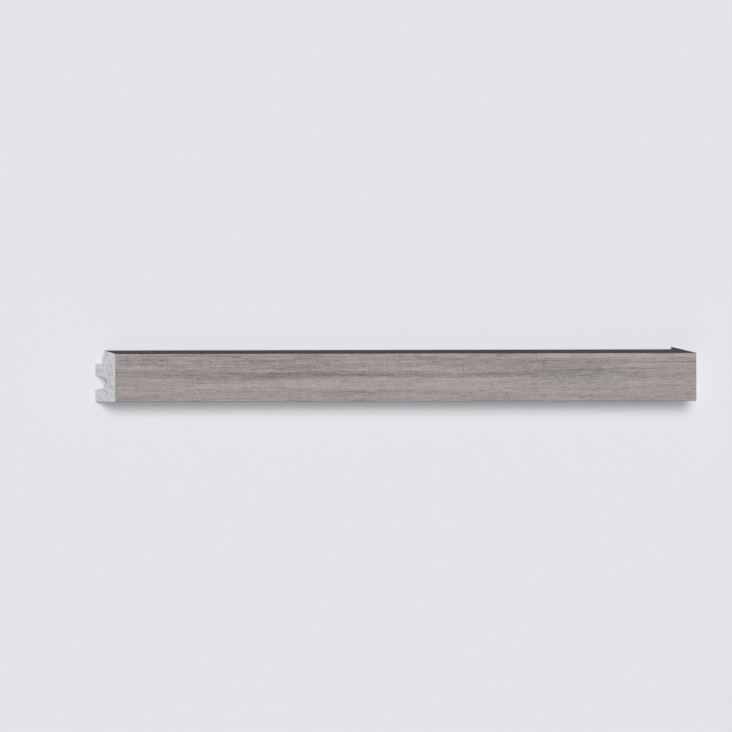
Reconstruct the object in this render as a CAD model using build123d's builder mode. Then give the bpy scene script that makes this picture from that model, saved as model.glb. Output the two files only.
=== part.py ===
"""Wall moulding: one mitred length of rigid foam trim, lying on its wall face. Sizes are in millimetres.

+X runs along the length, +Y from the underside to the lip, and +Z from the wall face to the front.
The origin is on the wall face, at the middle of the overall length and height.
"""

import os
from math import cos, radians, sin, tan

from build123d import *

# Length of the front face, and the mitre at each end, measured from a square cut
RUN_LENGTH = 640.0
INSIDE_MITRE = 45.0
OUTSIDE_MITRE = 45.0

# Body, from the wall face to the front and from the underside to the front's upper arris
DEPTH = 25.0
FRONT_HEIGHT = 53.0
ARRIS_RADIUS = 0.6

# Lip, whose top slopes up from the front, and the rebate behind it, which stops where the outside
# mitre meets the wall face, so that the lip closes that corner
BEVEL_ANGLE = 15.5
REBATE_WIDTH = 10.8
REBATE_FLOOR = 42.3

# Cable channel in the wall face, narrowing to a round end
CHANNEL_HEIGHT = 21.4
CHANNEL_MOUTH = 16.3
CHANNEL_DEPTH = 14.8
CHANNEL_END_RADIUS = 6.5

# Glue grooves, one in each land of the wall face
GROOVE_RADIUS = 0.75
LOWER_GROOVE_HEIGHT = 6.5
UPPER_GROOVE_HEIGHT = 36.0

# Where those sizes put the ends, the underside, the top of the lip and the end of the rebate
overall_length = RUN_LENGTH + DEPTH * tan(radians(INSIDE_MITRE))
overall_height = FRONT_HEIGHT + DEPTH * tan(radians(BEVEL_ANGLE))
underside = -overall_height / 2
left_end = -overall_length / 2
right_end = overall_length / 2
rebate_end = right_end - DEPTH * tan(radians(OUTSIDE_MITRE))

# The inside mitre faces forwards, and the outside mitre faces back
inside_cut = Plane((left_end, 0, 0), z_dir=(-cos(radians(INSIDE_MITRE)), 0, sin(radians(INSIDE_MITRE))))
outside_cut = Plane((right_end, 0, DEPTH), z_dir=(cos(radians(OUTSIDE_MITRE)), 0, -sin(radians(OUTSIDE_MITRE))))

with BuildPart() as moulding:
    with BuildSketch(Plane.YZ):
        with BuildLine():
            Polyline(
                (underside, 0),
                (underside, DEPTH),
                (underside + FRONT_HEIGHT, DEPTH),
                (underside + overall_height, 0),
                close=True,
            )
        body = make_face()
        fillet(body.vertices().group_by(Axis.Y)[-1], radius=ARRIS_RADIUS)
        with BuildLine() as channel:
            Line(
                (underside + CHANNEL_HEIGHT - CHANNEL_MOUTH / 2, 0),
                (underside + CHANNEL_HEIGHT + CHANNEL_MOUTH / 2, 0),
            )
            CenterArc(
                (underside + CHANNEL_HEIGHT, CHANNEL_DEPTH - CHANNEL_END_RADIUS),
                CHANNEL_END_RADIUS,
                start_angle=0,
                arc_size=360,
            )
        make_hull(channel.edges(), mode=Mode.SUBTRACT)
        with Locations((underside + LOWER_GROOVE_HEIGHT, 0), (underside + UPPER_GROOVE_HEIGHT, 0)):
            Circle(GROOVE_RADIUS, mode=Mode.SUBTRACT)
    extrude(amount=right_end, both=True)
    with BuildSketch(Plane.YZ.offset(left_end)):
        with Locations((underside + REBATE_FLOOR, 0)):
            Rectangle(overall_height - REBATE_FLOOR, REBATE_WIDTH, align=Align.MIN)
    extrude(amount=rebate_end - left_end, mode=Mode.SUBTRACT)
    split(bisect_by=inside_cut, keep=Keep.BOTTOM)
    split(bisect_by=outside_cut, keep=Keep.BOTTOM)

moulding.part.label = "moulding"

os.makedirs("parts", exist_ok=True)
export_step(moulding.part, "parts/moulding.step")
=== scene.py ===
"""The moulding lying front up on a pale floor: film, edge and foam finishes, soft light and the camera."""

import math
from functools import reduce

import bmesh
import bpy
import numpy as np
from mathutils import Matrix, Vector
from mathutils.geometry import delaunay_2d_cdt


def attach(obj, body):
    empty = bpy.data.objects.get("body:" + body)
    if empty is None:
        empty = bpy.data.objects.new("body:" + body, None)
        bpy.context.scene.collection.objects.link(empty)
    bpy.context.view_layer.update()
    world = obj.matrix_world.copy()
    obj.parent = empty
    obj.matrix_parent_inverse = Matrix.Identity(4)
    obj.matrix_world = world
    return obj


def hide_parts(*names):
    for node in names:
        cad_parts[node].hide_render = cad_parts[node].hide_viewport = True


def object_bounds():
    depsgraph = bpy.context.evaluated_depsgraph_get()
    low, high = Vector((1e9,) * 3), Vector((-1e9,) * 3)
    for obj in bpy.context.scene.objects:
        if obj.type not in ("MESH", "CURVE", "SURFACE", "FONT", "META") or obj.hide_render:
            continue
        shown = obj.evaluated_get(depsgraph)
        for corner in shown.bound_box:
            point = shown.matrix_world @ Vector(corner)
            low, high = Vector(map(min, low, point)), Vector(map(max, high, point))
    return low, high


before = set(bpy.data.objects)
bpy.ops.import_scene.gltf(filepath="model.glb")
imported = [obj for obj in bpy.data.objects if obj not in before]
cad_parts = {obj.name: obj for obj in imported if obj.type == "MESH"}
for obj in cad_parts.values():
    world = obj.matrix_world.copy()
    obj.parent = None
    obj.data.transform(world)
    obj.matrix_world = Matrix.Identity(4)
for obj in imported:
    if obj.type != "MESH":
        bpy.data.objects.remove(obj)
cad_low, cad_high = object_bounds()

MM = 0.001
SEED = 7

# Finishes, in the order of the mesh's material slots
FILM, EDGE, SKIN, SAWN = range(4)


def srgb(r, g, b):
    """A colour as it looks on a screen, from 0 to 255, as the shader takes it."""
    shares = (r / 255, g / 255, b / 255)
    linear = [c / 12.92 if c <= 0.04045 else ((c + 0.055) / 1.055) ** 2.4 for c in shares]
    return (*linear, 1.0)


def grey(level):
    return (level, level, level, 1.0)


# Node trees


class Tree:
    """The node tree of a material or a world."""

    def __init__(self, owner, shader="Principled BSDF"):
        owner.use_nodes = True
        self.owner = owner
        self.nodes = owner.node_tree.nodes
        self.links = owner.node_tree.links
        self.shader = self.nodes[shader]

    def add(self, kind, settings=None, **inputs):
        """A node, with its settings by name and its inputs by name or by place, as in in_0."""
        made = self.nodes.new(kind)
        for key, value in (settings or {}).items():
            setattr(made, key, value)
        for key, value in inputs.items():
            socket = made.inputs[int(key[3:])] if key.startswith("in_") else made.inputs[key]
            self.join(value, socket)
        return made

    def join(self, value, socket):
        """A link into a socket, or a plain value set on it."""
        if isinstance(value, bpy.types.NodeSocket):
            self.links.new(value, socket)
        else:
            socket.default_value = value

    def finish(self, **inputs):
        """Values or links for the shader, by the names of its inputs with _ for each space."""
        for key, value in inputs.items():
            self.join(value, self.shader.inputs[key.replace("_", " ")])
        return self.owner

    def math(self, operation, a, b=0.0):
        return self.add("ShaderNodeMath", {"operation": operation}, in_0=a, in_1=b).outputs[0]

    def times(self, a, b):
        return self.math("MULTIPLY", a, b)

    def total(self, *values):
        return reduce(lambda a, b: self.math("ADD", a, b), values)

    def vector(self, operation, a, b):
        return self.add("ShaderNodeVectorMath", {"operation": operation}, in_0=a, in_1=b).outputs[0]

    def axes(self, place):
        """The three coordinates of a place."""
        return self.add("ShaderNodeSeparateXYZ", in_0=place).outputs

    def place(self):
        """The place on the object, in millimetres."""
        return self.vector("MULTIPLY", self.add("ShaderNodeTexCoord").outputs["Object"], (1 / MM,) * 3)

    def unrolled(self):
        """The place along the length, and round the section from the underside's back edge."""
        x, y, z = self.axes(self.place())
        girth = self.math("ADD", self.math("SUBTRACT", y, cad_low.y / MM), z)
        return self.add("ShaderNodeCombineXYZ", X=x, Y=girth).outputs[0]

    def noise(self, place, size, detail=2.0, output="Fac"):
        """Noise whose marks, and the gaps between them, are about as long as size says, in millimetres."""
        scale = [1 / (2 * s) for s in size] + [0.0] * (3 - len(size))
        scaled = self.vector("MULTIPLY", place, scale)
        return self.add("ShaderNodeTexNoise", Vector=scaled, Scale=1.0, Detail=detail).outputs[output]

    def layered(self, place, layers):
        """The sum of layers of noise about nothing, each with its size, its detail and its weight."""
        levels = [self.math("SUBTRACT", self.noise(place, size, detail), 0.5) for size, detail, _ in layers]
        return self.total(*[self.times(level, weight) for level, (_, _, weight) in zip(levels, layers)])

    def cells(self, place, spacing, radius):
        """Round cells scattered through a body, in millimetres: 1 at the middle of each, 0 outside them."""
        scaled = self.vector("MULTIPLY", place, (1 / spacing,) * 3)
        away = self.add("ShaderNodeTexVoronoi", Vector=scaled, Scale=1.0).outputs["Distance"]
        return self.spread(away, (radius / spacing, 0.0))

    def spread(self, value, source, target=(0.0, 1.0)):
        """The value moved from one range to another, and held inside it."""
        (low, high), (to_low, to_high) = source, target
        made = self.add("ShaderNodeMapRange", in_0=value, in_1=low, in_2=high, in_3=to_low, in_4=to_high)
        return made.outputs[0]

    def ramp(self, value, stops):
        """A colour for the value, from stops that each hold a value and its colour."""
        made = self.add("ShaderNodeValToRGB", Fac=value)
        elements = made.color_ramp.elements
        while len(elements) < len(stops):
            elements.new(0.5)
        for element, (position, colour) in zip(elements, stops):
            element.position = position
            element.color = colour
        return made.outputs["Color"]

    def colours(self, value, stops):
        """A ramp whose colours are as on a screen."""
        return self.ramp(value, [(position, srgb(*colour)) for position, colour in stops])

    def blend(self, share, first, second, blend_type="MIX"):
        """One colour over another."""
        settings = {"data_type": "RGBA", "blend_type": blend_type}
        return self.add("ShaderNodeMix", settings, in_0=share, in_6=first, in_7=second).outputs[2]

    def bump(self, height, strength, distance):
        made = self.add("ShaderNodeBump", Height=height, Strength=strength, Distance=distance)
        return made.outputs["Normal"]


# The moulding's mesh

# What tells the finishes apart: the least rise of a face's normal on the front, on its lower arris and on
# the lip, its least lean sideways on the lip and the underside, and how far up the underside reaches
FRONT_RISE = 0.94
ARRIS_RISE = 0.6
LIP_RISE = 0.2
SIDE_LEAN = 0.3
UNDERSIDE_REACH = 1.0 * MM

# Facets narrower than this belong to a round, and are shaded smooth. Corners nearer than the weld are one.
ROUND_FACET = 1.5 * MM
WELD = 0.001 * MM

# Mesh of the sawn ends: its spacing, and as shares of that the shake of its points, the least way from
# them to the outline, and the width along the outline where the cells grow shallow
MESH_SPACING = 0.28 * MM
SHAKE = 0.3
CLEARANCE = 0.45
SHALLOW_WIDTH = 2.0

# How nearly a sawn end's faces face straight out of it, the triangulation that keeps only what lies inside
# its outline, and how near two points merge there
SAME_WAY = 0.99
INSIDE = 1
MERGE_DISTANCE = 1e-9

# Open cells on the sawn ends: their number on each, their least and greatest radius, and their depth as a
# share of it. The mesh keeps each point's share of the deepest cell, by which the finish paints shade into
# the cells.
CELL_COUNT = 1000
CELL_RADIUS = (0.22 * MM, 0.86 * MM)
CELL_DEPTH = (0.25, 0.60)
CELL_SHARE = "cell_share"


def finish_of(face):
    """Which finish a face has, from the way that it faces and from where it is."""
    y, z = face.normal.yz
    on_underside = y < -SIDE_LEAN and face.calc_center_median().y < cad_low.y + UNDERSIDE_REACH
    if z > FRONT_RISE or z > ARRIS_RISE and y < 0 or on_underside:
        return FILM
    if y > SIDE_LEAN and z > LIP_RISE:
        return EDGE
    return SKIN


def outline(faces):
    """The corners round a group of faces, in order. The edges there are made sharp."""
    group = set(faces)
    beside = {}
    for edge in {e for f in faces for e in f.edges}:
        if sum(f in group for f in edge.link_faces) == 1:
            edge.smooth = False
            a, b = edge.verts
            beside.setdefault(a, []).append(b)
            beside.setdefault(b, []).append(a)
    first = min(beside, key=lambda v: (v.co.z, v.co.y))
    before, here = first, max(beside[first], key=lambda v: v.co.z)
    loop = [first]
    while here != first:
        loop.append(here)
        before, here = here, next(v for v in beside[here] if v != before)
    return loop


def scattered(ring, random):
    """Spots on a shaken grid, inside a flat outline and clear of it, and how far each is from it."""
    low, high = ring.min(0), ring.max(0)
    columns, rows = ((high - low) / MESH_SPACING).astype(int)
    grid = np.stack(np.meshgrid(np.arange(columns), np.arange(rows)), -1).reshape(-1, 2)
    spots = low + (grid + 0.5 + random.uniform(-SHAKE, SHAKE, grid.shape)) * MESH_SPACING
    ahead = np.roll(ring, -1, axis=0)
    run = ahead - ring
    to_spot = spots[:, None, :] - ring
    share = np.clip((to_spot * run).sum(-1) / (run**2).sum(-1), 0, 1)
    gap = np.linalg.norm(to_spot - share[..., None] * run, axis=-1).min(1)
    crossing = (ring[:, 1] > spots[:, None, 1]) != (ahead[:, 1] > spots[:, None, 1])
    rise = np.where(run[:, 1] == 0, 1, run[:, 1])
    reach = ring[:, 0] + to_spot[..., 1] * run[:, 0] / rise
    inside = (crossing & (spots[:, None, 0] < reach)).sum(1) % 2 == 1
    kept = inside & (gap > CLEARANCE * MESH_SPACING)
    return spots[kept], gap[kept]


def sunk_cells(spots, gap, random):
    """How deep each spot lies in the foam's open cells."""
    low, high = spots.min(0), spots.max(0)
    cells = low + random.uniform(0, 1, (CELL_COUNT, 2)) * (high - low)
    least, greatest = CELL_RADIUS
    radius = least + (greatest - least) * random.uniform(0, 1, CELL_COUNT) ** 2
    depth = radius * random.uniform(*CELL_DEPTH, CELL_COUNT)
    sunk = np.zeros(len(spots))
    for i in range(CELL_COUNT):
        apart = np.linalg.norm(spots - cells[i], axis=1)
        sunk = np.maximum(sunk, depth[i] * (1 - (apart / radius[i]) ** 2))
    return sunk * np.clip(gap / (SHALLOW_WIDTH * MESH_SPACING), 0, 1)


def saw(shape, outward, random):
    """A mitre's flat face made over again as sawn foam, with open cells sunk into it."""
    flat_faces = [f for f in shape.faces if f.normal.dot(outward) > SAME_WAY]
    corners = outline(flat_faces)
    bmesh.ops.delete(shape, geom=flat_faces, context="FACES")
    up = Vector((0, 1, 0))
    along = up.cross(outward)
    origin = corners[0].co.copy()
    ring = [Vector(((v.co - origin).dot(along), (v.co - origin).dot(up))) for v in corners]
    spots, gap = scattered(np.array(ring), random)
    sunk = sunk_cells(spots, gap, random)
    flat = ring + [Vector(s) for s in spots]
    sides = [(i, (i + 1) % len(ring)) for i in range(len(ring))]
    made, _, triangles, sources, _, _ = delaunay_2d_cdt(flat, sides, [], INSIDE, MERGE_DISTANCE)
    cell_share = shape.verts.layers.float[CELL_SHARE]
    deepest = CELL_RADIUS[1] * CELL_DEPTH[1]
    points = []
    for point, source in zip(made, sources):
        if min(source) < len(ring):
            points.append(corners[min(source)])
        else:
            level = float(sunk[min(source) - len(ring)])
            spot = shape.verts.new(origin + along * point.x + up * point.y - outward * level)
            spot[cell_share] = level / deepest
            points.append(spot)
    for triangle in triangles:
        face = shape.faces.new([points[i] for i in triangle])
        face.material_index = SAWN
        face.smooth = True


def build_moulding():
    """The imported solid's own shape, with a finish for each face and the foam's cells on its sawn ends."""
    random = np.random.default_rng(SEED)
    shape = bmesh.new()
    shape.from_mesh(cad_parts["moulding"].data)
    shape.verts.layers.float.new(CELL_SHARE)
    bmesh.ops.remove_doubles(shape, verts=shape.verts, dist=WELD)
    shape.normal_update()
    for face in shape.faces:
        face.material_index = finish_of(face)
        face.smooth = max((a.co - b.co).yz.length for a in face.verts for b in face.verts) < ROUND_FACET
    for side in (-1, 1):
        saw(shape, Vector((side, 0, -side)).normalized(), random)
    made = bpy.data.meshes.new("moulding_body")
    shape.to_mesh(made)
    shape.free()
    piece = bpy.data.objects.new("moulding_body", made)
    bpy.context.scene.collection.objects.link(piece)
    return piece


# Finishes

# Where the front is round the section, in millimetres from the underside's back edge
FRONT_LOW = cad_high.z / MM
FRONT_HEIGHT = 53.0

# Bands of the film's print: height up the front as a share of it, and tone
BANDS = (
    (0.0, 0.495),
    (0.20, 0.475),
    (0.30, 0.56),
    (0.46, 0.54),
    (0.53, 0.37),
    (0.59, 0.37),
    (0.65, 0.43),
    (0.73, 0.48),
    (0.84, 0.43),
    (0.94, 0.53),
)

# Grain of the film's print: length and width of its marks in millimetres, detail, and weight in the tone,
# or for the sway that bends the grain, millimetres up or down the front
SWAY = (((110.0, 30.0), 0.0, 5.0),)
CLOUDS = (((80.0, 18.0), 1.0, 0.26),)
STREAKS = (((120.0, 3.2), 1.0, 0.51),)
FIBRES = (
    ((40.0, 0.9), 1.0, 0.46),
    ((14.0, 0.8), 1.0, 0.36),
)
SPECKS = (
    ((5.0, 0.6), 0.0, 0.26),
    ((5.0, 3.0), 1.0, 0.20),
    ((1.2, 0.6), 0.0, 0.52),
    ((9.0, 0.14), 1.0, 0.28),
)

# The streaks and fibres are stronger on the front's upper part: from which height to which, and how strong
STRONG_HEIGHTS = (0.40, 0.66)
STRENGTHS = (0.72, 1.20)

# Pores and dark lines: their size in millimetres, the noise levels where they begin and are full, and how
# dark they are in the tone, or for the pores how deep in the relief
PORE_SIZE = (5.0, 0.16)
PORE_LEVELS = (0.58, 0.64)
PORE_SHADE = 0.24
PORE_RELIEF = 0.4
LINE_SIZE = (24.0, 0.55)
LINE_LEVELS = (0.62, 0.70)
LINE_SHADE = 0.16

# Colours of the print by its tone
WOOD = (
    (0.0, (106, 99, 97)),
    (0.28, (137, 130, 128)),
    (0.5, (155, 148, 146)),
    (0.74, (171, 164, 162)),
    (1.0, (186, 179, 177)),
)

# The dark streaks are greyer than the pale print, which is pinker: the tones of both, and their casts
CASTS = (
    (0.35, (0.947, 0.975, 0.991, 1.0)),
    (0.47, (0.995, 0.975, 0.965, 1.0)),
)

# Patches of pinker and greener print: their size, the most that each channel changes, and its least share
PATCH_SIZE = (90.0, 7.0)
TINT_RANGE = (0.10, 0.0, 0.08)
TINT_LEAST = (0.95, 1.0, 0.96)

# Painted shade along the front's lower arris, where the film turns away from the light: half widths of the
# line, and its shade
ARRIS_SHADE_WIDTHS = (0.3, 0.8)
ARRIS_PAINTED_SHADE = 0.70

# The pale print is glossier than the dark: the tones of both, and their roughness
FILM_TONES = (0.2, 0.9)
FILM_ROUGHNESS = (0.62, 0.48)


def film_finish():
    """Printed film with the grain of a limed grey-brown wood, running along the length."""
    tree = Tree(bpy.data.materials.new("wood_film"))
    flat = tree.unrolled()
    lift = tree.add("ShaderNodeCombineXYZ", Y=tree.layered(flat, SWAY)).outputs[0]
    grain = tree.vector("ADD", flat, lift)
    height = tree.spread(tree.axes(grain)[1], (FRONT_LOW, FRONT_LOW + FRONT_HEIGHT))
    bands = tree.ramp(height, [(share, grey(level)) for share, level in BANDS])
    strength = tree.spread(height, STRONG_HEIGHTS, STRENGTHS)
    streaks = tree.times(tree.layered(grain, STREAKS), strength)
    fibres = tree.layered(grain, FIBRES)
    pores = tree.spread(tree.noise(grain, PORE_SIZE, 1.0), PORE_LEVELS)
    lines = tree.spread(tree.noise(grain, LINE_SIZE, 1.0), LINE_LEVELS)
    broad = tree.total(bands, tree.layered(grain, CLOUDS), streaks)
    tone = tree.total(
        broad,
        tree.times(fibres, strength),
        tree.layered(grain, SPECKS),
        tree.times(pores, -PORE_SHADE),
        tree.times(lines, -LINE_SHADE),
    )
    patches = tree.noise(grain, PATCH_SIZE, 3.0, output="Color")
    tint = tree.vector("ADD", tree.vector("MULTIPLY", patches, TINT_RANGE), TINT_LEAST)
    # A line of painted shade along the front's lower arris, darkest on the arris itself
    from_lower_arris = tree.math("ABSOLUTE", tree.math("SUBTRACT", tree.axes(flat)[1], FRONT_LOW))
    arris_shade = tree.spread(from_lower_arris, ARRIS_SHADE_WIDTHS, (ARRIS_PAINTED_SHADE, 1.0))
    colour = tree.colours(tone, WOOD)
    for shade in (tree.ramp(broad, CASTS), tint, arris_shade):
        colour = tree.blend(1.0, colour, shade, "MULTIPLY")
    relief = tree.total(fibres, tree.times(pores, -PORE_RELIEF))
    return tree.finish(
        Base_Color=colour,
        Roughness=tree.spread(tone, FILM_TONES, FILM_ROUGHNESS),
        Specular_IOR_Level=0.25,
        Normal=tree.bump(relief, strength=0.3, distance=0.15 * MM),
    )


# Charcoal film: size of its streaks and fibres in millimetres, their shares of the tone, and the colours
# and roughness by tone
EDGE_STREAK_SIZE = (45.0, 0.7)
EDGE_STREAK_SHARE = 0.6
EDGE_FIBRE_SIZE = (6.0, 0.25)
EDGE_FIBRE_SHARE = 0.4
CHARCOAL = ((0.3, (53, 50, 48)), (0.7, (70, 66, 63)))
EDGE_TONES = (0.3, 0.7)
EDGE_ROUGHNESS = (0.72, 0.58)


def edge_finish():
    """Charcoal film on the slope of the lip."""
    tree = Tree(bpy.data.materials.new("charcoal_edge"))
    flat = tree.unrolled()
    streaks = tree.noise(flat, EDGE_STREAK_SIZE, 3.0)
    fibres = tree.noise(flat, EDGE_FIBRE_SIZE)
    tone = tree.total(tree.times(streaks, EDGE_STREAK_SHARE), tree.times(fibres, EDGE_FIBRE_SHARE))
    return tree.finish(
        Base_Color=tree.colours(tone, CHARCOAL),
        Roughness=tree.spread(tone, EDGE_TONES, EDGE_ROUGHNESS),
        Specular_IOR_Level=0.12,
        Normal=tree.bump(fibres, strength=0.25, distance=0.06 * MM),
    )


# Foam skin: size of the die's lines, of cloudy patches and of pits in millimetres, the noise levels where
# the pits begin and are full and how dark they are, the colours by tone, and the roughness by the lines
DIE_LINE_SIZE = (140.0, 0.45)
SKIN_CLOUD_SIZE = (30.0, 6.0)
PIT_SIZE = (0.9, 0.6)
PIT_LEVELS = (0.62, 0.74)
PIT_SHADE = 0.25
SKIN_COLOURS = ((0.2, (198, 199, 202)), (0.5, (214, 215, 218)), (0.7, (221, 222, 224)))
DIE_LINE_LEVELS = (0.3, 0.7)
SKIN_ROUGHNESS = (0.52, 0.68)


def skin_finish():
    """The foam's own skin, with the faint lines of the die along it."""
    tree = Tree(bpy.data.materials.new("foam_skin"))
    flat = tree.unrolled()
    lines = tree.noise(flat, DIE_LINE_SIZE, 3.0)
    cloud = tree.noise(flat, SKIN_CLOUD_SIZE, 3.0)
    pits = tree.spread(tree.noise(flat, PIT_SIZE), PIT_LEVELS)
    tone = tree.total(tree.times(lines, 0.5), tree.times(cloud, 0.5), tree.times(pits, -PIT_SHADE))
    relief = tree.math("SUBTRACT", lines, pits)
    return tree.finish(
        Base_Color=tree.colours(tone, SKIN_COLOURS),
        Roughness=tree.spread(lines, DIE_LINE_LEVELS, SKIN_ROUGHNESS),
        Specular_IOR_Level=0.3,
        Normal=tree.bump(relief, strength=0.3, distance=0.08 * MM),
    )


# Sawn foam: size of cloudy patches and of grit in millimetres, and their shares of the tone
FOAM_CLOUD_SIZE = (4.0, 4.0, 4.0)
FOAM_CLOUD_SHARE = 0.35
GRIT_SIZE = (0.4, 0.4, 0.4)
GRIT_SHARE = 0.65

# Cells too small for the mesh, in millimetres, and the painted shade that darkens the cells of both kinds
FINE_SPACING = 1.1
FINE_RADIUS = 0.55
FINE_CELL_PAINTED_SHADE = 0.30
OPEN_CELL_PAINTED_SHADE = 0.80

# Colours of the sawn foam by its tone, its roughness, and the cut edge of the film
FOAM = ((0.0, (156, 157, 161)), (0.38, (221, 222, 226)), (0.62, (233, 234, 237)))
SAWN_TONES = (0.2, 0.7)
SAWN_ROUGHNESS = (0.95, 0.82)
FILM_THICKNESS = 0.25 * MM
CUT_FILM = (148, 141, 138)


def sawn_finish():
    """Sawn foam, speckled, with painted shade in its open cells, and the film's cut edge along the front
    and the underside.
    """
    tree = Tree(bpy.data.materials.new("sawn_foam"))
    place = tree.place()
    cloud = tree.noise(place, FOAM_CLOUD_SIZE)
    grit = tree.noise(place, GRIT_SIZE)
    fine = tree.cells(place, FINE_SPACING, FINE_RADIUS)
    share = tree.add("ShaderNodeAttribute", {"attribute_name": CELL_SHARE}).outputs["Fac"]
    # The fine cells and the mesh's cell depths darken the tone: painted shade in the foam's open cells
    tone = tree.total(
        tree.times(cloud, FOAM_CLOUD_SHARE),
        tree.times(grit, GRIT_SHARE),
        tree.times(fine, -FINE_CELL_PAINTED_SHADE),
        tree.times(share, -OPEN_CELL_PAINTED_SHADE),
    )
    _, y, z = tree.axes(place)
    front = tree.math("GREATER_THAN", z, (cad_high.z - FILM_THICKNESS) / MM)
    under = tree.math("LESS_THAN", y, (cad_low.y + FILM_THICKNESS) / MM)
    cut_film = tree.math("MAXIMUM", front, under)
    return tree.finish(
        Base_Color=tree.blend(cut_film, tree.colours(tone, FOAM), srgb(*CUT_FILM)),
        Roughness=tree.spread(tone, SAWN_TONES, SAWN_ROUGHNESS),
        Specular_IOR_Level=0.15,
        Normal=tree.bump(tone, strength=0.35, distance=0.15 * MM),
    )


piece = build_moulding()
for finish in (film_finish(), edge_finish(), skin_finish(), sawn_finish()):
    piece.data.materials.append(finish)
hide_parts("moulding")
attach(piece, "root")

# Floor

FLOOR_SIZE = 30.0
FLOOR_DROP = 0.1 * MM
FLOOR_COLOUR = (227, 228, 232)

bpy.ops.mesh.primitive_plane_add(size=FLOOR_SIZE, location=(0, 0, -FLOOR_DROP))
floor = bpy.context.object
floor.name = "floor"
paint = Tree(bpy.data.materials.new("pale_floor"))
paint.finish(Base_Color=srgb(*FLOOR_COLOUR), Roughness=0.9, Specular_IOR_Level=0.1)
floor.data.materials.append(paint.owner)

# Light

SKY_COLOUR = (0.97, 0.98, 1.0, 1.0)
AMBIENT_LEVEL = 0.10
SURROUND_LEVEL = 0.80


def lamp(name, towards, width, level):
    """A soft lamp far off: the way to it, its width in degrees, and its share of full light."""
    data = bpy.data.lights.new(name, "SUN")
    data.angle = math.radians(width)
    away = Vector(towards).normalized()
    data.energy = level * math.pi / away.z
    made = bpy.data.objects.new(name, data)
    made.rotation_euler = away.to_track_quat("Z", "Y").to_euler()
    bpy.context.scene.collection.objects.link(made)


lamp("key", towards=(0.18, 0.43, 1.0), width=34.0, level=0.59)
lamp("fill", towards=(0.08, -0.03, 1.0), width=14.0, level=0.24)
lamp("low", towards=(-0.2, -0.8, 1.0), width=40.0, level=0.07)

# The surroundings are pale to the eye and in reflections, and light the moulding only a little
sky = Tree(bpy.data.worlds.new("studio"), "Background")
path = sky.add("ShaderNodeLightPath").outputs
seen = sky.math("MAXIMUM", path["Is Camera Ray"], path["Is Glossy Ray"])
seen = sky.math("MAXIMUM", seen, path["Is Transmission Ray"])
sky.finish(Color=SKY_COLOUR, Strength=sky.spread(seen, (0.0, 1.0), (AMBIENT_LEVEL, SURROUND_LEVEL)))
bpy.context.scene.world = sky.owner

# Camera, fitted to the corners in the photograph, with the focal length in pixels of its frame

FRAME_SIZE = 732
FOCAL_LENGTH = 2665.3
CAMERA_PLACE = (-0.0213, 0.01216, 2.96236)
CAMERA_DEGREES = (-0.058, 0.197, -0.116)
SIGHT = 100.0

lens = bpy.data.cameras.new("camera")
lens.sensor_width = 36.0
lens.lens = lens.sensor_width * FOCAL_LENGTH / FRAME_SIZE
lens.clip_end = SIGHT
camera = bpy.data.objects.new("camera", lens)
camera.location = CAMERA_PLACE
camera.rotation_euler = [math.radians(a) for a in CAMERA_DEGREES]
bpy.context.scene.collection.objects.link(camera)
bpy.context.scene.camera = camera
bpy.context.scene.view_settings.view_transform = "Standard"
